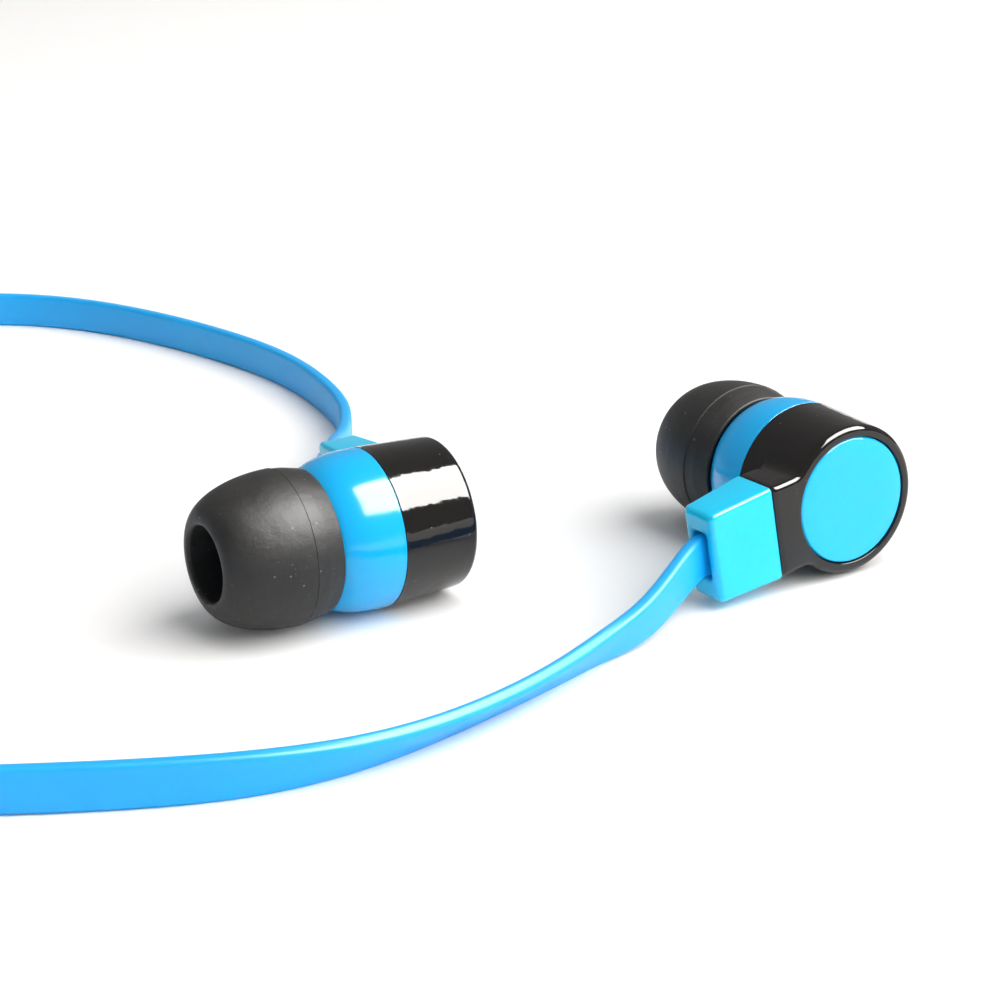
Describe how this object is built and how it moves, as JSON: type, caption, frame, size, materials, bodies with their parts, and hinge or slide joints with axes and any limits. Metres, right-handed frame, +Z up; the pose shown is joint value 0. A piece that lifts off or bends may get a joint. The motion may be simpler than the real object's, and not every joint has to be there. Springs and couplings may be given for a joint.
{
  "type": "wired earphones",
  "caption": "Wired in-ear earphones with soft tips on glossy shells, flat cables that join at a splitter and a right-angle jack plug, the slack cable coiled beside them.",
  "frame": {"origin": "on the surface they lie on, under the middle of the box round the earbuds without cable and plug", "axes": "+Z up; +X to the right and +Y away for a viewer at the side on which the earbuds' rear faces show"},
  "size_m": [0.1645, 0.1234, 0.0125],
  "materials": {
    "black_shell": "piano-black gloss",
    "blue_shell": "cyan-blue gloss",
    "blue_cable": "satin cyan-blue elastomer",
    "silicone": "matte dark grey",
    "steel": "plain metal",
    "gold": "gold plated",
    "copper": "enamelled copper",
    "film": "thin film",
    "board_green": "solder mask",
    "black_plastic": "matte"
  },
  "bodies": {
    "earphones": {"y_splitter": "blue_cable", "main_cable_lead": "blue_cable", "main_cable_coil": "blue_cable", "main_cable_tail": "blue_cable", "plug_body": "blue_cable", "plug_sleeve": "gold", "plug_insulator_rear": "black_plastic", "plug_ring": "gold", "plug_insulator_front": "black_plastic", "plug_tip": "gold", "left_branch_cable": "blue_cable", "right_branch_cable": "blue_cable", "left_rear_housing": "black_shell", "left_end_cap": "blue_shell", "left_strain_relief": "blue_cable", "left_front_housing": "blue_shell", "left_nozzle_mesh": "steel", "left_driver_frame": "black_plastic", "left_driver_yoke": "steel", "left_driver_magnet": "steel", "left_driver_plate": "steel", "left_terminal_board": "board_green", "left_cable_anchor": "steel", "left_lead_wire_a": "copper", "left_lead_wire_b": "copper", "right_rear_housing": "black_shell", "right_end_cap": "blue_shell", "right_strain_relief": "blue_cable", "right_front_housing": "blue_shell", "right_nozzle_mesh": "steel", "right_driver_frame": "black_plastic", "right_driver_yoke": "steel", "right_driver_magnet": "steel", "right_driver_plate": "steel", "right_terminal_board": "board_green", "right_cable_anchor": "steel", "right_lead_wire_a": "copper", "right_lead_wire_b": "copper"},
    "left_tip": {"left_ear_tip": "silicone"},
    "left_moving_coil": {"left_diaphragm": "film", "left_voice_coil": "copper"},
    "right_tip": {"right_ear_tip": "silicone"},
    "right_moving_coil": {"right_diaphragm": "film", "right_voice_coil": "copper"}
  },
  "joints": [
    {"name": "left_tip_pull", "type": "slide", "parent": "earphones", "child": "left_tip", "axis": [-0.8607, -0.509, 0], "range_m": [0, 0.008]},
    {"name": "left_diaphragm_travel", "type": "slide", "parent": "earphones", "child": "left_moving_coil", "axis": [-0.8607, -0.509, 0], "range_m": [-0.00015, 0.00015], "stiffness_N_per_m": 200},
    {"name": "right_tip_pull", "type": "slide", "parent": "earphones", "child": "right_tip", "axis": [-0.5388, 0.8425, 0], "range_m": [0, 0.008]},
    {"name": "right_diaphragm_travel", "type": "slide", "parent": "earphones", "child": "right_moving_coil", "axis": [-0.5388, 0.8425, 0], "range_m": [-0.00015, 0.00015], "stiffness_N_per_m": 200}
  ]
}
